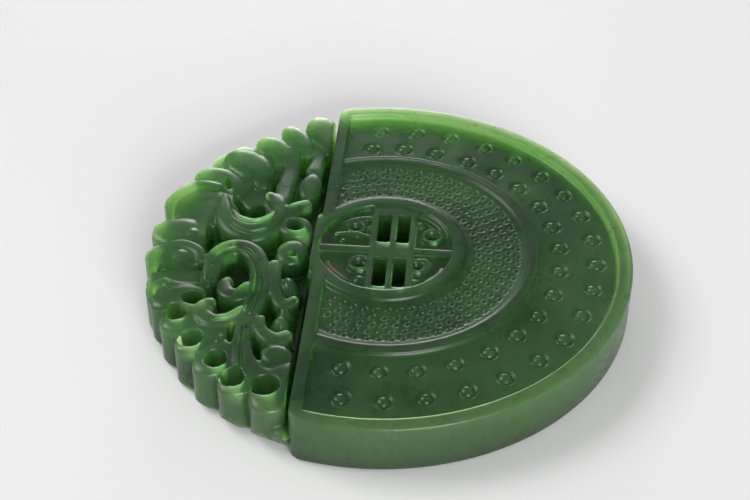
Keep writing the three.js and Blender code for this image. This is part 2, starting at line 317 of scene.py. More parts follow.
def block(name, x0, x1, y0, y1, low, high, soft=0):
    piece = start(bpy.ops.mesh.primitive_cube_add, name, size=1,
                  location=((x0 + x1) / 2, (y0 + y1) / 2, (low + high) / 2),
                  scale=(x1 - x0, y1 - y0, high - low))
    if soft:
        bevel_edges(piece, lambda points: min(p.z for p in points) > low, soft, 3)
    return piece


def carve_slab(at):
    """The half disc with its softened arrises and two round corners."""
    slab = disc("plain_side", RADIUS, 0, THICKNESS)
    saw(slab, at.bar_out)
    x = at.bar_out + at.corner
    y = math.sqrt((RADIUS - at.corner)**2 - x**2)
    meet = x * RADIUS / (RADIUS - at.corner)
    for end in (-1, 1):
        y0, y1 = sorted((end * y, end * (RADIUS + 1)))
        corner = block("corner", at.bar_out - 1, meet, y0, y1, BELOW, ABOVE)
        keep = disc("corner_round", at.corner, BELOW - 1, ABOVE + 1, Vector((x, end * y, 0)),
                    sides=64)
        combine(corner, keep, "DIFFERENCE")
        combine(slab, corner, "DIFFERENCE")
    choose(slab, "FACE", lambda points: True)
    bpy.ops.mesh.remove_doubles(threshold=SAME_POINT)
    bpy.ops.object.mode_set(mode="OBJECT")
    bevel_edges(slab, at_height(THICKNESS), TOP_ARRIS, ARRIS_STEPS)
    bevel_edges(slab, at_height(0), FOOT_ARRIS, ARRIS_STEPS)
    return slab


def sink_field(slab, at):
    """The outer field, with soft walls along the rim and the bar."""
    arris, foot, draw = 0.16, 0.3, 0.05
    edge = RADIUS - at.rim
    cutter = disc("field_cutter", edge + arris, THICKNESS, ABOVE)
    saw(cutter, at.bar_in - arris)
    (Profile(edge + arris, THICKNESS)
        .bend(edge, THICKNESS - arris, leaves_flat=True)
        .to(edge - draw, at.field + foot)
        .bend(edge - foot, at.field, leaves_flat=False, count=5)
        .carve(cutter, facing=-1))
    combine(slab, cutter, "DIFFERENCE")


def raise_band(slab, at):
    """The ring band with a fine line near its outer edge, and the grained field inside it."""
    top = THICKNESS - 0.2
    foot, arris, cut = 0.6, 0.13, 0.08
    outer, line, inner = at.band, at.band - 0.32, at.band - 1.1
    island = disc("ring_band", outer + foot, at.field - 1, at.field, INNER)
    (Profile(outer + foot, at.field)
        .bend(outer, top - arris, leaves_flat=True, count=5)
        .bend(outer - arris, top, leaves_flat=False)
        .to(line, top).to(line - 0.06, top - cut).to(line - 0.11, top - cut).to(line - 0.17, top)
        .to(inner, top + 0.02)
        .bend(inner - 0.12, top - 0.1, leaves_flat=True)
        .to(inner - 0.3, top - 0.27)
        .to(inner - 1.0, at.grain + 0.06)
        .bend(inner - 1.15, at.grain, leaves_flat=False, count=3)
        .carve(island))
    saw(island, at.bar_in - 0.3)
    combine(slab, island, "UNION")


class CarvePlainSide(Operator):
    """Carves the flat half: rim, bar, sunk fields and ring band"""
    bl_idname = "pendant.plain_side"
    bl_label = "Plain side"

    def execute(self, context):
        at = Levels(context.scene.plain_side)
        slab = carve_slab(at)
        sink_field(slab, at)
        raise_band(slab, at)
        return {"FINISHED"}


# Medallion

# Middle of the fret, size of a slot, and the widths between slots
FRET_X = 1.1
SLOT = Vector((1.5, 5.0))
MULLION = 0.65
CROSSBAR = 2.6
JAMB = 0.75
ARM_HALF = 0.65
# Depth of the well, of the fret's own top, and of its ribs, below the medallion's face
WELL_DEPTH = 0.85
FRET_DROP = 0.2
CURL_DROP = 0.3
CURL_THICK = 0.32
FINE_ROUND = 160


def medallion_disc(at):
    """The raised disc: its foot sweeps up from the grains, and it swells over the bar's edge."""
    arris = at.medallion
    foot = arris + 0.9
    raised = disc("medallion_disc", foot, 1, at.grain, INNER, sides=FINE_ROUND)
    saw(raised, at.bar_out - 1.35)
    (Profile(foot, at.grain)
        .bend(arris + 0.1, THICKNESS - 0.3, leaves_flat=True, count=6)
        .bend(arris - 0.25, THICKNESS - 0.03, leaves_flat=False)
        .to(arris - 0.55, THICKNESS)
        .carve(raised))
    saw(raised, at.bar_out - 0.55)
    return raised


def medallion_well(at):
    """The round floor that the fret stands in."""
    edge = at.medallion - 1.45
    floor = THICKNESS - WELL_DEPTH
    arris = 0.2
    well = disc("medallion_well", edge + arris, THICKNESS, ABOVE, INNER, sides=FINE_ROUND)
    (Profile(edge + arris, THICKNESS)
        .bend(edge, THICKNESS - arris, leaves_flat=True)
        .to(edge - 0.08, floor + 0.25)
        .bend(edge - 0.33, floor, leaves_flat=False)
        .carve(well, facing=-1))
    return well


def fret_ring(name, x, y, radius, thick, top):
    """A round-topped rib that runs in a circle on the well's floor."""
    tall = 1.5
    ring = start(bpy.ops.mesh.primitive_torus_add, name, major_radius=radius, minor_radius=thick,
                 major_segments=96, minor_segments=16)
    ring.data.transform(Matrix.Translation((x, y, top - tall * thick))
                        @ Matrix.Diagonal((1, 1, tall, 1)))
    return ring


# Low ribs in the four quarters: x, y, half width, top below the medallion's face
FRET_RIBS = (
    ((3.7, 6.6, 0.25, -0.3), (5.2, 5.8, 0.4, -0.25), (6.6, 4.4, 0.35, -0.3),
     (7.2, 2.9, 0.2, -0.4)),
    ((-5.6, 2.5, 0.2, -0.35), (-4.2, 2.7, 0.36, -0.3), (-2.6, 2.6, 0.36, -0.3),
     (-1.4, 2.3, 0.2, -0.35)),
    ((-4.9, 4.4, 0.2, -0.4), (-3.6, 5.2, 0.4, -0.3), (-1.8, 5.6, 0.4, -0.3),
     (-0.9, 5.0, 0.2, -0.4)),
    ((-5.9, -2.2, 0.2, -0.4), (-5.3, -3.7, 0.35, -0.3), (-4.2, -4.9, 0.35, -0.3),
     (-3.2, -5.6, 0.2, -0.4)),
    ((6.9, -2.4, 0.2, -0.4), (6.5, -3.8, 0.35, -0.3), (5.6, -4.8, 0.35, -0.3),
     (4.6, -5.8, 0.2, -0.4)),
    ((3.6, -1.5, 0.2, -0.35), (4.9, -1.4, 0.3, -0.3), (5.6, -2.4, 0.3, -0.3),
     (4.8, -3.6, 0.3, -0.35)),
)
# Small raised rings round the pits, and bumps: x, y, radius
FRET_CURLS = ((5.6, 3.0, 1.05), (-2.3, -2.3, 1.1), (-3.2, 3.95, 0.95), (4.1, -2.4, 0.95))
FRET_BUMPS = ((4.1, 5.0, 0.7), (-2.1, -5.0, 0.95), (4.1, -5.1, 0.9), (-4.5, 1.4, 0.6),
              (-1.6, 4.0, 0.55))


def fret_bars(at):
    """Jambs, mullion and crossbar, the two arms, and the low ribs and curls in each quarter."""
    top = THICKNESS - FRET_DROP
    root = THICKNESS - 2.2
    curl_top = THICKNESS - CURL_DROP
    half = MULLION / 2 + SLOT.x + JAMB
    reach = at.medallion - 0.7
    fret = block("fret", FRET_X - half, FRET_X + half, -reach, reach, root, top, soft=0.2)
    arms = block("arms", -reach, reach, -ARM_HALF, ARM_HALF, root, top, soft=0.38)
    combine(fret, arms, "UNION")
    low = [strand("rib", [(x, y, half, THICKNESS + drop) for x, y, half, drop in rib], root)
           for rib in FRET_RIBS]
    low += [fret_ring("curl", *place, CURL_THICK, curl_top) for place in FRET_CURLS]
    for x, y, radius in FRET_BUMPS:
        low.append(start(bpy.ops.mesh.primitive_uv_sphere_add, "bump", segments=24, ring_count=12,
                         radius=radius, location=(x, y, curl_top - radius)))
    for form in low:
        combine(fret, form, "UNION")
    keep = disc("fret_edge", at.medallion - 0.75, 0, ABOVE, INNER, sides=FINE_ROUND)
    combine(fret, keep, "INTERSECT")
    return fret


def fret_holes():
    """The four tall slots sawn right through, and the small pits inside the curls."""
    holes = []
    for side in (-1, 1):
        for end in (-1, 1):
            x = FRET_X + side * (MULLION + SLOT.x) / 2
            y = end * (CROSSBAR + SLOT.y) / 2
            slot = block("slot", x - SLOT.x / 2, x + SLOT.x / 2, y - SLOT.y / 2, y + SLOT.y / 2,
                         BELOW - 1, ABOVE)
            bevel_edges(slot, lambda points: abs(points[0].z - points[1].z) > 1, 0.3, 4)
            holes.append(slot)
    pit = 1.8
    for x, y, radius in FRET_CURLS:
        holes.append(start(bpy.ops.mesh.primitive_cone_add, "pit", vertices=24, radius1=0.2,
                           radius2=0.8 * radius, depth=pit, location=(x, y, THICKNESS - pit / 2)))
    return gather(holes, "fret_holes")


class CarveMedallion(Operator):
    """Raises the medallion and carves its pierced fret"""
    bl_idname = "pendant.medallion"
    bl_label = "Medallion"

    def execute(self, context):
        at = Levels(context.scene.plain_side)
        slab = piece_named("plain_side")
        combine(slab, medallion_disc(at), "UNION")
        combine(slab, medallion_well(at), "DIFFERENCE")
        combine(slab, fret_bars(at), "UNION")
        combine(slab, fret_holes(), "DIFFERENCE")
        return {"FINISHED"}


# Bosses and grains, each a dome inside a drilled ring

BOSS_ROWS = (
    {"radius": 19.6, "lift": 0.5, "first": -99.5, "step": 11.7, "count": 18},
    {"radius": 23.5, "lift": 0.25, "first": -96.9, "step": 10.7, "count": 19},
)


def boss_places(level):
    rough = random.Random(7)
    places = []
    for row in BOSS_ROWS:
        for i in range(row["count"]):
            a = math.radians(row["first"] + i * row["step"] + rough.uniform(-0.25, 0.25))
            r = row["radius"] + rough.uniform(-0.08, 0.08)
            places.append((INNER.x + r * math.cos(a), row["lift"] + r * math.sin(a), level,
                           rough.uniform(0.94, 1.06), rough.uniform(0, 6)))
    return places


def grain_places(at, level):
    """Staggered rings of grains between the medallion and the band, up to the bar."""
    rough = random.Random(11)
    places = []
    rows = 5
    first, last = at.medallion + 1.4, at.band - 2.5
    for row in range(rows):
        r = first + (last - first) * row / (rows - 1)
        count = round(2 * math.pi * r / at.pitch)
        for i in range(count):
            a = 2 * math.pi * (i + 0.5 * (row % 2)) / count
            x = INNER.x + r * math.cos(a) + rough.uniform(-0.05, 0.05)
            y = INNER.y + r * math.sin(a) + rough.uniform(-0.05, 0.05)
            if x > at.bar_in + 0.6:
                places.append((x, y, level, rough.uniform(0.92, 1.08), rough.uniform(0, 6)))
    return places


def ringed_domes(slab, name, places, radius, ring, depth, rise, sides):
    """Drills a shallow ring at each place and leaves or raises a dome inside it."""
    drill = start(bpy.ops.mesh.primitive_cone_add, name + "_drill", vertices=sides,
                  radius1=ring - depth, radius2=ring + 0.3 * depth, depth=1.3 * depth,
                  location=(0, 0, -0.35 * depth))
    combine(slab, copies(drill, name + "_drills", places), "DIFFERENCE")
    dome = start(bpy.ops.mesh.primitive_uv_sphere_add, name + "_dome", segments=sides,
                 ring_count=8, radius=1)
    dome.data.transform(Matrix.Translation((0, 0, -depth - 0.05))
                        @ Matrix.Diagonal((radius, radius, rise + depth + 0.05, 1)))
    combine(slab, copies(dome, name + "_domes", places), "UNION")


class CarveBosses(Operator):
    """Carves the two rows of round bosses on the outer field"""
    bl_idname = "pendant.bosses"
    bl_label = "Bosses"

    def execute(self, context):
        at = Levels(context.scene.plain_side)
        ringed_domes(piece_named("plain_side"), "boss", boss_places(at.field), radius=at.boss,
                     ring=1.5 * at.boss, depth=0.24, rise=0.3, sides=24)
        return {"FINISHED"}


class CarveGrains(Operator):
    """Carves the small ringed grains between the medallion and the ring band"""
    bl_idname = "pendant.grains"
    bl_label = "Grains"

    def execute(self, context):
        at = Levels(context.scene.plain_side)
        ringed_domes(piece_named("plain_side"), "grain", grain_places(at, at.grain), radius=0.3,
                     ring=0.53, depth=0.2, rise=0.1, sides=12)
        return {"FINISHED"}


# Openwork, drawn from listed knots and places

# The bed that the lobes and locks stand on, and where the locks' walls end inside it
BED_RADIUS = 24.8
BED_TOP = 3.2
LOCK_FOOT = 1
# A lock's shoulder as a share of its half width, and how flat its sides and top are: 1 is round
SHOULDER = 0.55
FLAT_SIDE = 0.6
FLAT_TOP = 0.7
# A lobe's dome as a share of its height
DOME = 0.12

# Lobes of the edge: angle, radius at the tip, half length, half width, top
EDGE_LOBES = (
    (111.5, 27.9, 4.2, 2.35, 5.9),
    (120.0, 27.6, 3.6, 1.65, 5.7),
    (127.8, 27.0, 3.4, 2.05, 5.6),
    (138.4, 26.9, 3.6, 2.45, 5.7),
    (149.3, 27.1, 3.4, 2.45, 5.5),
    (161.8, 27.4, 4.6, 3.75, 5.5),
    (175.6, 26.8, 3.6, 2.65, 5.7),
    (186.0, 26.6, 3.6, 2.35, 5.9),
    (195.4, 26.4, 3.4, 2.25, 5.4),
    (203.8, 26.5, 3.2, 2.15, 5.8),
    (212.3, 26.5, 3.2, 2.2, 5.7),
    (221.2, 26.7, 3.4, 2.25, 5.8),
    (230.0, 27.2, 3.4, 2.25, 5.9),
    (238.8, 27.5, 3.6, 2.35, 5.9),
    (248.3, 27.8, 3.9, 2.6, 6.0),
)

# Bowls scooped out behind the crests: x, y, half width
HOLLOWS = (
    (-10.1, -22.4, 1.5),
    (-13.6, -21.4, 1.4),
    (-15.8, -18.9, 1.3),
    (-18.9, -15.9, 1.35),
    (-21.2, -11.9, 1.35),
    (-16.4, -11.2, 1.1),
)

# Broad forms inside the edge: x, y, half length, half width, turn, top
PADS = (
    (-10.2, 3.5, 2.0, 1.9, 0, 6.0),
    (-9.6, -17.9, 1.8, 1.6, 0, 6.1),
    (-9.4, 11.4, 2.6, 1.3, 85, 5.9),
    (-10.1, -0.9, 2.2, 1.8, 75, 5.9),
    (-15.6, 13.6, 8.6, 4.6, 130, 4.5),
    (-8.4, 24.9, 2.6, 1.5, 90, 4.4),
    (-8.0, -24.6, 2.2, 1.3, 90, 3.2),
)

# Round buds between the locks: x, y, half length, half width, turn, top
BUDS = (
    (-22.4, -2.8, 3.2, 2.6, 15, 6.1),
    (-21.8, 1.4, 2.2, 2.0, 60, 5.9),
    (-15.8, -16.0, 2.2, 1.2, 80, 6.0),
    (-9.7, -6.6, 2.4, 1.4, 105, 6.1),
    (-9.8, -12.6, 1.7, 1.4, 90, 6.0),
    (-21.1, -11.2, 2.2, 2.0, 40, 5.8),
    (-9.6, -10.9, 1.2, 1.4, 0, 5.7),
)

# Locks and curls: x, y, half width, top at each knot
LOCKS = {
    "crescent": ((-19.2, 9.0, 0.3, 5.8), (-18.7, 5.8, 1.0, 6.1), (-17.4, 3.6, 1.8, 6.1),
                 (-15.4, 2.6, 2.2, 6.1), (-13.6, 3.4, 1.8, 6.1), (-12.4, 5.4, 1.0, 6.1),
                 (-12.7, 7.9, 0.8, 6.0), (-14.3, 9.8, 0.4, 5.6)),
    "great_lock": ((-18.4, -6.9, 0.8, 5.6), (-18.5, -3.4, 1.1, 6.1), (-17.4, -1.3, 1.3, 6.1),
                   (-15.7, -0.8, 1.3, 6.1), (-14.0, -2.0, 1.2, 6.1), (-13.1, -4.8, 1.2, 6.1),
                   (-12.9, -8.8, 1.2, 6.1), (-13.5, -12.6, 1.0, 6.1), (-13.5, -16.2, 0.9, 6.1),
                   (-12.9, -19.3, 0.9, 6.1), (-11.9, -22.4, 0.6, 6.0)),
    "inner_curl": ((-13.8, -6.8, 0.8, 6.1), (-14.8, -8.7, 1.0, 6.0), (-16.2, -8.4, 1.0, 5.9),
                   (-16.7, -6.8, 0.8, 5.7), (-16.2, -5.7, 0.4, 5.5)),
    "hook": ((-13.6, -10.8, 0.8, 6.1), (-15.0, -12.6, 1.0, 6.1), (-16.8, -13.3, 1.1, 6.1),
             (-18.2, -12.2, 1.0, 6.0), (-18.3, -10.6, 0.9, 5.9), (-17.2, -9.7, 0.5, 5.7)),
    "left_ridge": ((-18.2, -6.8, 0.5, 5.7), (-20.2, -7.6, 0.7, 5.6), (-22.4, -7.4, 0.8, 5.5),
                   (-24.0, -6.0, 0.5, 5.4)),
    "leaf_tip": ((-11.9, 4.8, 0.7, 5.9), (-10.8, 6.4, 1.1, 6.1), (-8.9, 8.0, 0.6, 6.0)),
    "upper_strand_1": ((-17.6, 16.4, 1.1, 5.6), (-17.2, 13.4, 1.1, 5.4), (-17.9, 10.6, 0.8, 5.0),
                       (-18.9, 8.6, 0.4, 5.2)),
    "upper_strand_2": ((-14.7, 18.0, 1.1, 5.6), (-15.4, 14.6, 1.1, 5.2), (-15.2, 11.4, 0.8, 5.0)),
    "upper_strand_3": ((-12.5, 19.6, 1.0, 5.6), (-12.0, 15.0, 1.0, 5.4), (-12.4, 11.4, 1.1, 5.6),
                       (-12.1, 8.0, 0.6, 5.9)),
    "upper_strand_4": ((-9.4, 20.4, 1.0, 5.7), (-9.0, 17.4, 0.8, 5.5), (-9.4, 13.8, 1.1, 5.8)),
    "pad_rim": ((-25.2, -5.2, 0.35, 5.8), (-25.0, -2.6, 0.6, 6.0), (-22.8, -0.9, 0.7, 6.1),
                (-20.4, -1.9, 0.6, 6.1), (-19.9, -3.8, 0.4, 6.0)),
    "lobe_rim": ((-24.8, 3.8, 0.35, 5.5), (-25.2, 7.4, 0.6, 5.7), (-22.9, 10.5, 0.7, 5.8),
                 (-20.0, 10.4, 0.5, 5.7)),
    "far_rim": ((-24.2, -10.2, 0.35, 5.6), (-24.6, -8.2, 0.5, 5.8), (-23.0, -6.9, 0.5, 5.8)),
    "pad_side": ((-20.9, 9.2, 0.7, 5.4), (-20.7, 6.0, 0.9, 5.6), (-21.0, 3.2, 0.8, 5.6),
                 (-20.6, 0.6, 0.6, 5.7)),
    "drop_cup": ((-11.7, -2.8, 0.5, 6.0), (-11.3, -5.2, 0.6, 6.1), (-11.0, -7.8, 0.7, 6.0),
                 (-9.9, -9.9, 0.8, 5.9), (-8.5, -8.6, 0.4, 5.8)),
    "lower_cup": ((-12.0, -12.0, 0.5, 6.0), (-11.7, -14.2, 0.8, 6.1), (-10.0, -15.5, 1.0, 6.0),
                  (-8.5, -14.2, 0.6, 5.9)),
    "collar": ((-12.6, -16.0, 0.4, 5.9), (-11.9, -18.8, 0.5, 5.9), (-10.6, -20.6, 0.9, 5.9),
               (-8.6, -20.2, 0.7, 5.8)),
}

# Sawn holes: x, y, half length, half width, turn
PIERCINGS = (
    (-10.2, 3.6, 1.1, 1.1, 0),
    (-9.9, -1.5, 0.5, 0.5, 0),
    (-15.3, -5.0, 1.2, 0.9, 70),
    (-19.8, -9.5, 1.3, 1.0, 10),
    (-16.4, -11.3, 0.9, 0.9, 0),
    (-21.3, -11.8, 0.85, 0.85, 0),
    (-19.1, -15.9, 1.0, 0.7, 30),
    (-15.8, -18.8, 1.0, 1.0, 0),
    (-13.8, -21.5, 1.0, 1.0, 0),
    (-10.2, -22.7, 1.2, 1.1, 0),
    (-11.7, -17.4, 1.6, 0.4, 110),
    (-14.8, -15.0, 1.4, 0.35, 95),
    (-15.3, 7.2, 1.7, 1.1, 80),
    (-17.4, 8.2, 1.5, 0.6, 110),
    (-19.8, 1.2, 2.6, 0.4, 100),
    (-13.7, 12.5, 1.5, 0.55, 85),
    (-10.7, 16.2, 1.4, 0.55, 95),
    (-12.4, -0.4, 1.5, 0.5, 110),
    (-19.3, 11.4, 1.2, 0.5, 110),
)

# Lines cut along the locks: x, y, half width, top of the cutter
LINE_FOOT = 5.72
ENGRAVED = (
    ((-18.1, 6.6, 0.12, 7), (-17.0, 4.3, 0.26, 7), (-15.2, 3.5, 0.3, 7), (-13.4, 4.4, 0.26, 7),
     (-12.7, 6.0, 0.12, 7)),
    ((-17.6, 3.2, 0.12, 7), (-16.6, 2.2, 0.24, 7), (-15.0, 1.7, 0.26, 7), (-13.2, 2.6, 0.12, 7)),
    ((-18.6, -4.6, 0.12, 7), (-17.9, -2.2, 0.2, 7), (-16.2, -1.2, 0.22, 7), (-14.6, -2.0, 0.22, 7),
     (-13.4, -5.0, 0.22, 7), (-13.2, -8.4, 0.2, 7), (-13.8, -12.0, 0.12, 7)),
    ((-12.7, -5.4, 0.12, 7), (-12.5, -7.4, 0.18, 7), (-12.6, -9.8, 0.18, 7),
     (-13.2, -12.2, 0.12, 7)),
    ((-13.6, -13.6, 0.12, 7), (-13.5, -16.4, 0.2, 7), (-12.9, -19.6, 0.2, 7),
     (-12.2, -21.4, 0.12, 7)),
    ((-14.0, -11.6, 0.12, 7), (-15.4, -13.0, 0.2, 7), (-17.0, -13.2, 0.12, 7)),
)


def along(knots, t):
    """A smooth course through the knots, at t from 0 to 1."""
    last = len(knots) - 1
    i = min(int(t * last), last - 1)
    u = t * last - i
    a, b, c, d = (Vector(knots[max(0, min(last, i + k))]) for k in (-1, 0, 1, 2))
    leave, arrive = (c - a) / 2, (d - b) / 2
    return (b * (2 * u**3 - 3 * u**2 + 1) + leave * (u**3 - 2 * u**2 + u)
            + c * (3 * u**2 - 2 * u**3) + arrive * (u**3 - u**2))


def strand(name, knots, foot, rings_per_knot=8):
    """Draws a ball out along the knots: rounded shoulders above, upright walls down to the foot."""
    piece = start(bpy.ops.mesh.primitive_uv_sphere_add, name, segments=20,
                  ring_count=rings_per_knot * len(knots), radius=1)
    length = sum((Vector(b[:2]) - Vector(a[:2])).length for a, b in zip(knots, knots[1:]))
    for vertex in piece.data.vertices:
        t = math.acos(max(-1, min(1, vertex.co.z))) / math.pi
        turn = math.atan2(vertex.co.y, vertex.co.x)
        x, y, half, top = along(knots, t)
        ahead = (along(knots, min(1, t + 0.01)) - along(knots, max(0, t - 0.01))).xy.normalized()
        near = min(1, min(t, 1 - t) * length / max(half, 0.05))
        swell = math.sqrt(max(0, 1 - (1 - near)**2))
        shoulder = min(SHOULDER * half, 0.6 * (top - foot))
        side = math.copysign(abs(math.cos(turn))**FLAT_SIDE, math.cos(turn)) * half * swell
        if turn >= 0:
            z = top - shoulder + shoulder * math.sin(turn)**FLAT_TOP * swell
        else:
            side = math.copysign(min(1, 2 * abs(math.cos(turn))), math.cos(turn)) * half * swell
            z = top - shoulder + (top - shoulder - foot) * max(-1, 1.5 * math.sin(turn))
        vertex.co = (x + ahead.y * side, y - ahead.x * side, z)
    return piece


def ball(name, ring_count=20):
    return start(bpy.ops.mesh.primitive_uv_sphere_add, name, segments=32, ring_count=ring_count,
                 radius=1)


def lay(piece, place, turn, stretch):
    """Stretches a form drawn round the origin, turns it by degrees and puts it in its place."""
    piece.data.transform(Matrix.Translation(place) @ Matrix.Rotation(math.radians(turn), 4, "Z")
                         @ Matrix.Diagonal((*stretch, 1)))
    return piece


def pillow(name, x, y, half_length, half_width, turn, top):
    """An upright lobe: a ball with its lower half drawn down straight and its top domed."""
    piece = ball(name)
    dome = DOME * top
    for vertex in piece.data.vertices:
        lift = vertex.co.z
        flat = vertex.co.xy
        if lift > 0:
            spread = flat.length**-0.45 if flat.length > 0.01 else 1
            z = top - dome + dome * lift
        else:
            spread = 1 / max(flat.length, 0.4)
            z = top - dome + (top - dome - BELOW) * max(-1, 1.6 * lift)
        vertex.co = (flat.x * spread, flat.y * spread, z)
    return lay(piece, (x, y, 0), turn, (half_length, half_width, 1))


def edge_lobe(angle, tip, half_length, half_width, top):
    """A lobe that points out from the disc's centre."""
    a = math.radians(angle)
    centre = tip - half_length
    return pillow("lobe", centre * math.cos(a), centre * math.sin(a), half_length, half_width,
                  angle, top)


def hollow(x, y, half_width, depth=2.6):
    bowl = ball("hollow", ring_count=16)
    return lay(bowl, (x, y, THICKNESS), 0, (half_width, half_width, depth))


def bud(x, y, half_length, half_width, turn, top, centre=2.5):
    return lay(ball("bud"), (x, y, centre), turn, (half_length, half_width, top - centre))


def piercing(x, y, half_length, half_width, turn):
    """A sawn hole, oval and right through."""
    hole = start(bpy.ops.mesh.primitive_cylinder_add, "piercing", vertices=36, radius=1, depth=12)
    return lay(hole, (x, y, 3), turn, (half_length, half_width, 1))


def openwork_outline(at, groove):
    """What the openwork may fill: walls drawn in towards the back, less the groove and holes."""
    reach, height, groove_floor, bar_foot = 2.8, 3.6, 2.4, 2
    form = disc("openwork_outline", RADIUS, height, THICKNESS)
    (Profile(RADIUS, height)
        .bend(RADIUS - reach, 0, leaves_flat=False, count=8)
        .carve(form, facing=-1))
    far = RADIUS + 5
    left = LOW.x / MM + 0.03
    for cut in (("beside_bar", at.bar_out - groove, far, -far, far, groove_floor, ABOVE),
                ("far_side", at.bar_out + 0.4, far, -far, far, BELOW, bar_foot),
                ("edge", -far, left, -far, far, BELOW, ABOVE)):
        combine(form, block(*cut), "DIFFERENCE")
    holes = [piercing(*place) for place in PIERCINGS]
    combine(form, gather(holes, "piercings"), "DIFFERENCE")
    return form


def modify(piece, kind, **values):
    take(piece)
    bpy.ops.object.modifier_add(type=kind)
    modifier = piece.modifiers[-1]
    for name, value in values.items():
        setattr(modifier, name, value)
    bpy.ops.object.modifier_apply(modifier=modifier.name)


def wear(piece, grid, passes):
    """Wears the cut edges soft on a fine grid, and keeps the faces that the shape needs."""
    modify(piece, "REMESH", mode="VOXEL", voxel_size=grid)
    modify(piece, "SMOOTH", factor=0.5, iterations=passes)
    triangles = sum(len(face.vertices) - 2 for face in piece.data.polygons)
    modify(piece, "DECIMATE", ratio=min(1, MOST_TRIANGLES / triangles))


class CarveOpenwork(Operator):
    """Carves the half with locks, lobes and curls, and pierces it"""
    bl_idname = "pendant.openwork"
    bl_label = "Openwork"

    def execute(self, context):
        size = context.scene.openwork
        at = Levels(context.scene.plain_side)
        grid = size.surface_grid / MM
        forms = [disc("bed", BED_RADIUS, BELOW, BED_TOP, sides=120)]
        forms += [edge_lobe(*lobe) for lobe in EDGE_LOBES]
        forms += [pillow("pad", *pad) for pad in PADS]
        forms += [bud(*place) for place in BUDS]
        forms += [strand(name, knots, LOCK_FOOT) for name, knots in LOCKS.items()]
        carving = gather(forms, "openwork")
        modify(carving, "REMESH", mode="VOXEL", voxel_size=grid)
        combine(carving, openwork_outline(at, size.groove_width / MM), "INTERSECT")
        cuts = [hollow(*place) for place in HOLLOWS]
        cuts += [strand("line", knots, LINE_FOOT) for knots in ENGRAVED]
        combine(carving, gather(cuts, "cuts"), "DIFFERENCE")
        wear(carving, grid, size.polish_passes)
        return {"FINISHED"}


# Jade

DARK_SPECK = (0.010, 0.028, 0.014, 1)
# Where the olive edge tone sets in and is full, and how far its border wanders, in millimetres; the
# tone is partly the stone's own skin and partly a painted glow of light through the thin edge
RIND_GLOW_SPAN = (27.0, 31.0)
RIND_GLOW_WANDER = 5
# Heights and radii between which the bar and the band are painted darker, a painted shade standing
# in for the sheen they lack beside the sunk fields, in millimetres
PAINTED_SHADE_HEIGHTS = (5.55, 5.75)
PAINTED_SHADE_OUTER = (26.0, 24.5)
PAINTED_SHADE_INNER = (8.2, 9.4)
# The rust stain's middle and reach, in millimetres
STAIN_CENTRE = (-5.4, -3.9, 5.2)
STAIN_SIZE = 2
STONE_IOR = 1.6
STONE_GLOSS = 0.25
GLOW_REACH = (0.8, 1.0, 0.55)
# The angle over which an edge stays crisp when it is shaded
CRISP_ANGLE = {"plain_side": 32, "openwork": 50}


def socket(tree, name, kind, way, value=None):
    made = tree.interface.new_socket(name=name, in_out=way, socket_type="NodeSocket" + kind)
    if value is not None:
        made.default_value = value


def node(tree, kind, links=(), **values):
    """Adds a shader node, sets its values by name and feeds its inputs from other sockets."""
    made = tree.nodes.new("ShaderNode" + kind)
    for name, value in values.items():
        if hasattr(made, name):
            setattr(made, name, value)
        else:
            made.inputs[name.replace("_", " ").title()].default_value = value
    for target, source in links:
        tree.links.new(source, made.inputs[target])
    return made


def ranged(tree, source, low, high, out_low=0.0, out_high=1.0):
    made = node(tree, "MapRange", [(0, source)], interpolation_type="SMOOTHSTEP")
    for i, value in enumerate((low, high, out_low, out_high)):
        made.inputs[i + 1].default_value = value
    return made.outputs[0]


def mixed(tree, share, first, second, way="MIX"):
    made = tree.nodes.new("ShaderNodeMix")
    made.data_type = "RGBA"
    made.blend_type = way
    for i, source in ((0, share), (6, first), (7, second)):
        if isinstance(source, bpy.types.NodeSocket):
            tree.links.new(source, made.inputs[i])
        else:
            made.inputs[i].default_value = source
    return made.outputs[2]


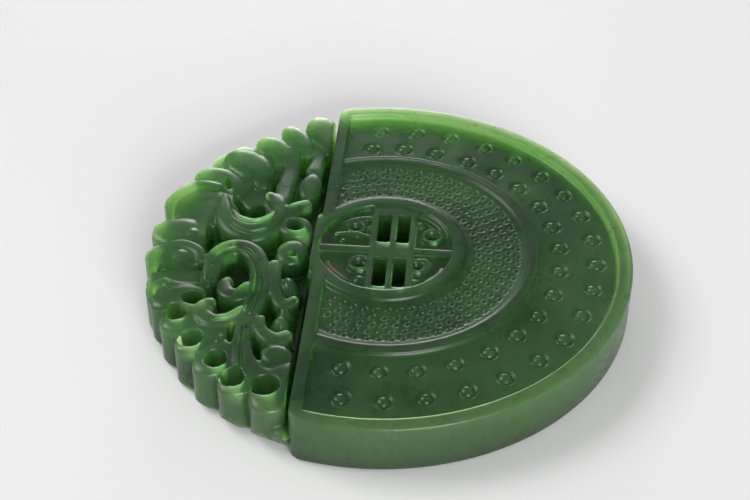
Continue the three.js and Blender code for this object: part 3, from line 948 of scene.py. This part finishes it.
def jade_clouds():
    """The stone's colour: clear green with paler clouds and dark specks, and towards the disc's
    edge an olive tone that is partly the stone's own skin and partly a painted glow.
    """
    group = bpy.data.node_groups.new("Jade clouds", "ShaderNodeTree")
    socket(group, "Deep", "Color", "INPUT", (0.03, 0.1, 0.03, 1))
    socket(group, "Cloudy", "Color", "INPUT", (0.07, 0.19, 0.07, 1))
    socket(group, "Rind Glow", "Color", "INPUT", (0.08, 0.17, 0.06, 1))
    socket(group, "Cloud Size", "Float", "INPUT", 1.0)
    socket(group, "Color", "Color", "OUTPUT")
    socket(group, "Unevenness", "Float", "OUTPUT")
    socket(group, "Polish Relief", "Float", "OUTPUT")
    given = group.nodes.new("NodeGroupInput")
    result = group.nodes.new("NodeGroupOutput")
    place = node(group, "TexCoord").outputs["Object"]
    scaled = node(group, "VectorMath", [(0, place)], operation="SCALE")
    group.links.new(given.outputs["Cloud Size"], scaled.inputs["Scale"])
    clouds = node(group, "TexNoise", [("Vector", scaled.outputs[0])], scale=70.0, detail=5.0,
                  roughness=0.55, distortion=0.8)
    wisps = node(group, "TexNoise", [("Vector", scaled.outputs[0])], scale=310.0, detail=4.0,
                 roughness=0.6, distortion=0.3)
    color = mixed(group, ranged(group, clouds.outputs[0], 0.38, 0.66), given.outputs["Deep"],
                  given.outputs["Cloudy"])
    color = mixed(group, ranged(group, wisps.outputs[0], 0.35, 0.75, 0.0, 0.3), color,
                  given.outputs["Cloudy"])
    flecks = node(group, "TexVoronoi", [("Vector", place)], scale=330.0)
    gate = node(group, "TexNoise", [("Vector", place)], scale=120.0, detail=2.0)
    fleck = node(group, "Math", [(0, ranged(group, flecks.outputs["Distance"], 0.2, 0.05)),
                                 (1, ranged(group, gate.outputs[0], 0.58, 0.66))],
                 operation="MULTIPLY")
    color = mixed(group, fleck.outputs[0], color, DARK_SPECK)
    color = rind_and_painted_glow(group, color, given.outputs["Rind Glow"])
    fine = node(group, "TexNoise", [("Vector", place)], scale=900.0, detail=3.0)
    group.links.new(color, result.inputs["Color"])
    group.links.new(wisps.outputs[0], result.inputs["Unevenness"])
    group.links.new(fine.outputs[0], result.inputs["Polish Relief"])
    return group


def from_centre(tree, place):
    """Distance from the disc's axis, in millimetres."""
    flat = node(tree, "Mapping", [("Vector", place)])
    flat.inputs["Scale"].default_value = (1 / MM, 1 / MM, 0)
    return node(tree, "VectorMath", [(0, flat.outputs[0])], operation="LENGTH").outputs["Value"]


def rind_and_painted_glow(tree, color, rind_glow):
    """The olive tone towards the disc's edge: partly the stone's own olive skin, partly a painted
    glow of light shining through the thin edge.
    """
    place = node(tree, "TexCoord").outputs["Object"]
    wander = node(tree, "TexNoise", [("Vector", place)], scale=110.0, detail=3.0)
    edge = node(tree, "Math", [(0, wander.outputs[0]), (2, from_centre(tree, place))],
                operation="MULTIPLY_ADD")
    edge.inputs[1].default_value = RIND_GLOW_WANDER
    return mixed(tree, ranged(tree, edge.outputs[0], *RIND_GLOW_SPAN, 0.0, 0.7), color, rind_glow)


def painted_raised_shade(tree, color):
    """Painted shade: the raised band and bar are painted a deeper green than the sunk fields,
    standing in for the sheen that lights the sunk fields and not the raised faces.
    """
    place = node(tree, "TexCoord").outputs["Object"]
    height = node(tree, "SeparateXYZ", [(0, place)])
    raised = ranged(tree, height.outputs[2], *(level * MM for level in PAINTED_SHADE_HEIGHTS))
    reach = from_centre(tree, place)
    inside = ranged(tree, reach, *PAINTED_SHADE_OUTER, 0.0, 0.5)
    outside = ranged(tree, reach, *PAINTED_SHADE_INNER)
    ring = node(tree, "Math", [(0, outside), (1, inside)], operation="MULTIPLY")
    share = node(tree, "Math", [(0, raised), (1, ring.outputs[0])], operation="MULTIPLY")
    return mixed(tree, share.outputs[0], color, (0.3, 0.3, 0.3, 1), "MULTIPLY")


def stained(tree, color, rust):
    """The small rust-brown stain in the medallion's lower left quarter."""
    place = node(tree, "TexCoord").outputs["Object"]
    moved = node(tree, "Mapping", [("Vector", place)])
    moved.inputs["Location"].default_value = [-c / STAIN_SIZE for c in STAIN_CENTRE]
    moved.inputs["Scale"].default_value = [1 / (STAIN_SIZE * MM)] * 3
    reach = node(tree, "VectorMath", [(0, moved.outputs[0])], operation="LENGTH")
    wander = node(tree, "TexNoise", [("Vector", place)], scale=500.0, detail=4.0)
    blur = node(tree, "Math", [(0, reach.outputs["Value"]), (1, wander.outputs[0])],
                operation="ADD")
    return mixed(tree, ranged(tree, blur.outputs[0], 1.3, 0.6, 0.0, 0.8), color, (*rust, 1))


def jade(name, look, clouds, painted_glow, cloud_size, rough, stain_and_shade):
    """Translucent green stone with a waxy polish."""
    made = bpy.data.materials.new(name)
    made.use_nodes = True
    tree = made.node_tree
    tree.nodes.clear()
    body = tree.nodes.new("ShaderNodeGroup")
    body.node_tree = clouds
    # A factor above 1 brightens the stone's colours as a painted glow, standing in for light
    # passing through thin carving
    body.inputs["Deep"].default_value = (*(painted_glow * c for c in look.deep), 1)
    body.inputs["Cloudy"].default_value = (*(painted_glow * c for c in look.cloudy), 1)
    body.inputs["Cloud Size"].default_value = cloud_size
    body.inputs["Rind Glow"].default_value = (*look.rind_glow, 1)
    color = body.outputs["Color"]
    # Besides the rust spot, this paints the raised band and bar darker as a painted shade
    if stain_and_shade:
        color = stained(tree, painted_raised_shade(tree, color), look.rust)
    bump = node(tree, "Bump", [("Height", body.outputs["Polish Relief"])])
    bump.inputs["Strength"].default_value = 0.12
    bump.inputs["Distance"].default_value = 0.05 * MM
    gloss = ranged(tree, body.outputs["Unevenness"], 0.3, 0.7, rough - 0.05, rough + 0.08)
    shader = node(tree, "BsdfPrincipled", [
        ("Base Color", color), ("Normal", bump.outputs[0]), ("Roughness", gloss)])
    shader.inputs["IOR"].default_value = STONE_IOR
    shader.inputs["Specular IOR Level"].default_value = STONE_GLOSS
    shader.inputs["Subsurface Weight"].default_value = 1.0
    shader.inputs["Subsurface Radius"].default_value = GLOW_REACH
    shader.inputs["Subsurface Scale"].default_value = look.glow_depth
    output = tree.nodes.new("ShaderNodeOutputMaterial")
    tree.links.new(shader.outputs[0], output.inputs["Surface"])
    return made


# Polishing takes a hair off, so that both halves stay inside the CAD solid's box
SNUG = 0.9999
LIFT = 2e-7


class PolishJade(Operator):
    """Brings both halves to life size, polishes them and lays them in the CAD frame"""
    bl_idname = "pendant.polish"
    bl_label = "Jade polish"

    def execute(self, context):
        look = context.scene.jade
        clouds = jade_clouds()
        finishes = {
            "plain_side": jade("Jade, plain side", look, clouds, 1.0, 1.0, 0.3, True),
            # The openwork's colours are brightened 1.1 times as a painted glow of light through its
            # thin carving
            "openwork": jade("Jade, openwork", look, clouds, 1.1, 1.25, 0.3, False),
        }
        wear(piece_named("plain_side"), context.scene.plain_side.surface_grid / MM, 1)
        for name, finish in finishes.items():
            piece = piece_named(name)
            piece.data.transform(Matrix.Translation((0, 0, LIFT)) @ Matrix.Scale(SNUG * MM, 4))
            piece.data.materials.clear()
            piece.data.materials.append(finish)
            take(piece)
            bpy.ops.object.shade_smooth_by_angle(angle=math.radians(CRISP_ANGLE[name]))
            modify(piece, "WEIGHTED_NORMAL", keep_sharp=True, weight=80)
            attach(piece, "root")
            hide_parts(NODE)
        return {"FINISHED"}


# Stage

def table_finish(color):
    made = bpy.data.materials.new("Pale table")
    made.use_nodes = True
    tree = made.node_tree
    shader = tree.nodes["Principled BSDF"]
    place = node(tree, "TexCoord").outputs["Object"]
    cloud = node(tree, "TexNoise", [("Vector", place)], scale=8.0, detail=3.0)
    duller = [0.985 * c for c in color]
    tone = mixed(tree, ranged(tree, cloud.outputs[0], 0.3, 0.7), (*color, 1), (*duller, 1))
    tree.links.new(tone, shader.inputs["Base Color"])
    shader.inputs["Roughness"].default_value = 0.6
    return made


def soft_lamp(name, place, size, power):
    """A square soft light, in metres and watts, that looks at the pendant."""
    lay_down()
    bpy.ops.object.light_add(type="AREA", location=place)
    lamp = bpy.context.active_object
    lamp.name = lamp.data.name = name
    lamp.rotation_euler = (-Vector(place)).to_track_quat("-Z", "Y").to_euler()
    lamp.data.size = size
    lamp.data.energy = power


def photo_camera():
    """The photograph's view: turned a little from the bar's line and looking down at 40 degrees."""
    azimuth, elevation, roll = (math.radians(a) for a in (4.66, 39.61, 0.075))
    target = Vector((-1.312, 6.848, 0)) * MM
    distance = 177.25 * MM
    level = math.cos(elevation)
    back = Vector((math.sin(azimuth) * level, -math.cos(azimuth) * level, math.sin(elevation)))
    lay_down()
    bpy.ops.object.camera_add(location=target + back * distance)
    camera = bpy.context.active_object
    camera.name = "photo_camera"
    camera.rotation_euler = (back.to_track_quat("Z", "Y").to_matrix()
                             @ Matrix.Rotation(roll, 3, "Z")).to_euler()
    camera.data.sensor_width = 36
    camera.data.lens = 72
    camera.data.clip_start, camera.data.clip_end = 0.005, 10
    bpy.context.scene.camera = camera


class SetStage(Operator):
    """Lays the pale table and sets the soft lights and the camera"""
    bl_idname = "pendant.stage"
    bl_label = "Stage"

    def execute(self, context):
        look = context.scene.stage
        table = start(bpy.ops.mesh.primitive_plane_add, "table", size=4)
        table.data.materials.append(table_finish(look.table))
        soft_lamp("key_lamp", (-0.85, 0.25, 0.85), 0.6, look.key_power)
        soft_lamp("front_lamp", (0.45, -1.05, 0.36), 0.6, look.front_power)
        soft_lamp("back_lamp", (-0.05, 0.62, 0.1), 0.22, look.back_power)
        world = bpy.data.worlds.new("Room")
        world.use_nodes = True
        sky = world.node_tree.nodes["Background"]
        sky.inputs["Color"].default_value = (1, 1, 1, 1)
        sky.inputs["Strength"].default_value = look.sky
        context.scene.world = world
        context.scene.view_settings.view_transform = "Standard"
        photo_camera()
        return {"FINISHED"}


class PendantPanel(Panel):
    """Lists the carving steps and their sizes"""
    bl_idname = "VIEW3D_PT_pendant"
    bl_label = "Jade pendant"
    bl_space_type = "VIEW_3D"
    bl_region_type = "UI"
    bl_category = "Pendant"

    def draw(self, context):
        scene = context.scene
        for title, group in (("Plain side", scene.plain_side), ("Openwork", scene.openwork),
                             ("Jade", scene.jade), ("Stage", scene.stage)):
            box = self.layout.box()
            box.label(text=title)
            for name in group.__annotations__:
                box.prop(group, name)
        for step in STEPS:
            self.layout.operator(step.bl_idname)


STEPS = (CarvePlainSide, CarveMedallion, CarveBosses, CarveGrains, CarveOpenwork, PolishJade,
         SetStage)
GROUPS = {"plain_side": PlainSideSize, "openwork": OpenworkSize, "jade": JadeLook,
          "stage": StageLook}


def register():
    for kind in (*GROUPS.values(), *STEPS, PendantPanel):
        bpy.utils.register_class(kind)
    for name, kind in GROUPS.items():
        setattr(bpy.types.Scene, name, PointerProperty(type=kind))


def unregister():
    for name in GROUPS:
        delattr(bpy.types.Scene, name)
    for kind in (PendantPanel, *reversed(STEPS), *reversed(GROUPS.values())):
        bpy.utils.unregister_class(kind)


def main():
    register()
    for step in STEPS:
        family, name = step.bl_idname.split(".")
        getattr(getattr(bpy.ops, family), name)()


if __name__ == "__main__":
    main()
